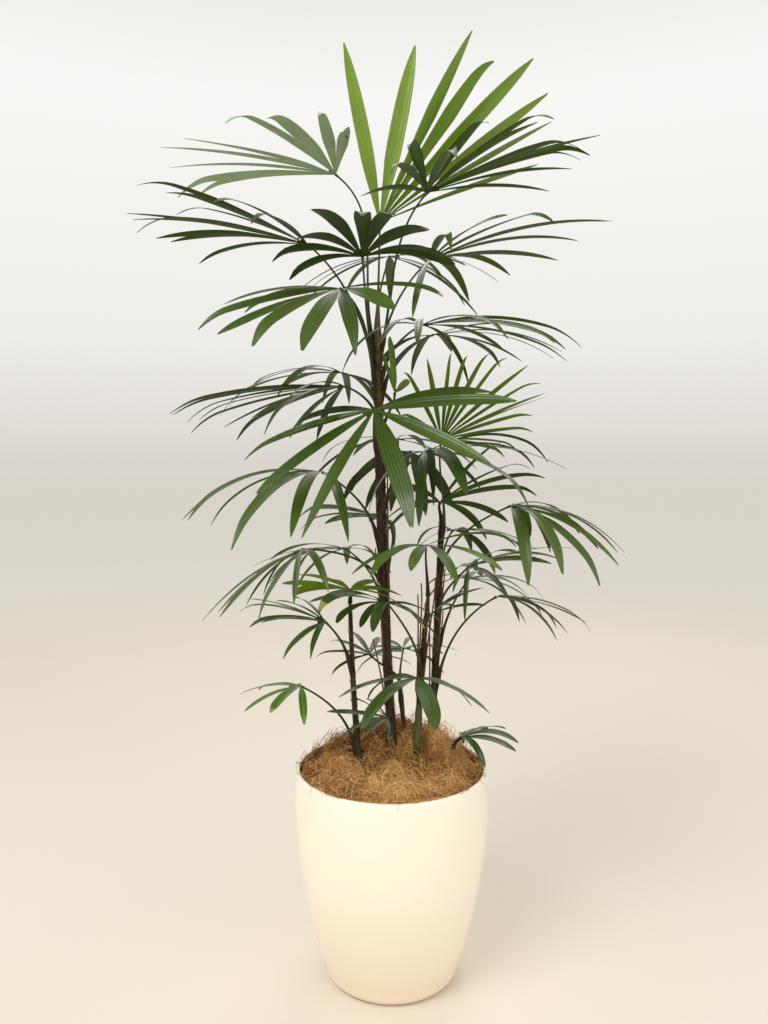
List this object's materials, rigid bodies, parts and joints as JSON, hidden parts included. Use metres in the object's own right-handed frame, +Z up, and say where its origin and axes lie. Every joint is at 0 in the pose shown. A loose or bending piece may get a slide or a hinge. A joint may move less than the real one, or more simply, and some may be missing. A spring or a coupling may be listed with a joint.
{
  "type": "potted slender lady palm",
  "caption": "Slender lady palm with narrow fan fronds on upright fibrous canes, standing in a smooth white tapered pot topped with coir fibre.",
  "frame": {"origin": "centre of the pot's flat underside, on the surface that it stands on", "axes": "+Z up, +X the plant's right and +Y its back, seen from its front"},
  "size_m": [0.6801, 0.5891, 1.3747],
  "materials": {
    "pot_glaze": "smooth warm white, satin gloss",
    "potting_mix": "moist dark bark and peat, matte",
    "coir": "tangled tan-brown coconut fibre, matte",
    "cane_fibre": "near-black brown woven leaf-base fibre, matte",
    "leaf_new": "bright yellow-green young blade, satin",
    "leaf_bright": "fresh green blade, satin",
    "leaf_mid": "deep green blade, glossy",
    "leaf_dark": "dark green blade, glossy",
    "leaf_pale": "pale grey-green blade, satin",
    "leaf_brown": "brownish ageing blade, satin"
  },
  "bodies": {
    "root": {"pot": "pot_glaze", "potting_mix": "potting_mix", "coir_mulch": "coir", "cane_main": "cane_fibre", "cane_left": "cane_fibre", "cane_middle": "cane_fibre", "cane_right": "cane_fibre", "cane_back": "cane_fibre", "cane_young": "cane_fibre", "frond_spear_top": "leaf_new", "frond_right_high": "leaf_mid", "frond_back_left_high": "leaf_pale", "frond_centre_high": "leaf_dark", "frond_left_high": "leaf_dark", "frond_right_upper": "leaf_mid", "frond_mid_right": "leaf_mid", "frond_mid_left": "leaf_mid", "frond_left_mid_dark": "leaf_dark", "frond_front_centre": "leaf_mid", "frond_left_lower_mid": "leaf_mid", "frond_left_low": "leaf_mid", "frond_left_crown": "leaf_new", "frond_left_low_fan": "leaf_mid", "frond_centre_low": "leaf_dark", "frond_right_low": "leaf_mid", "frond_centre_right_low": "leaf_dark", "frond_middle_crown": "leaf_bright", "frond_right_mid_big": "leaf_mid", "frond_right_low_dark": "leaf_brown", "frond_right_spiky": "leaf_bright", "frond_right_centre": "leaf_mid", "frond_centre_young": "leaf_bright", "frond_centre_cluster": "leaf_dark", "frond_low_front": "leaf_mid", "frond_low_left_small": "leaf_bright", "frond_low_centre_small": "leaf_dark", "frond_low_left_dark": "leaf_dark", "frond_low_right_small": "leaf_mid", "frond_back_high": "leaf_mid", "frond_back_right_upper": "leaf_dark", "frond_back_left_mid": "leaf_mid", "frond_back_mid": "leaf_dark", "frond_back_right_low": "leaf_mid", "frond_back_left_low": "leaf_mid", "frond_back_centre": "leaf_dark", "frond_centre_behind": "leaf_mid", "frond_right_behind": "leaf_dark", "frond_back_low": "leaf_mid"}
  },
  "joints": []
}
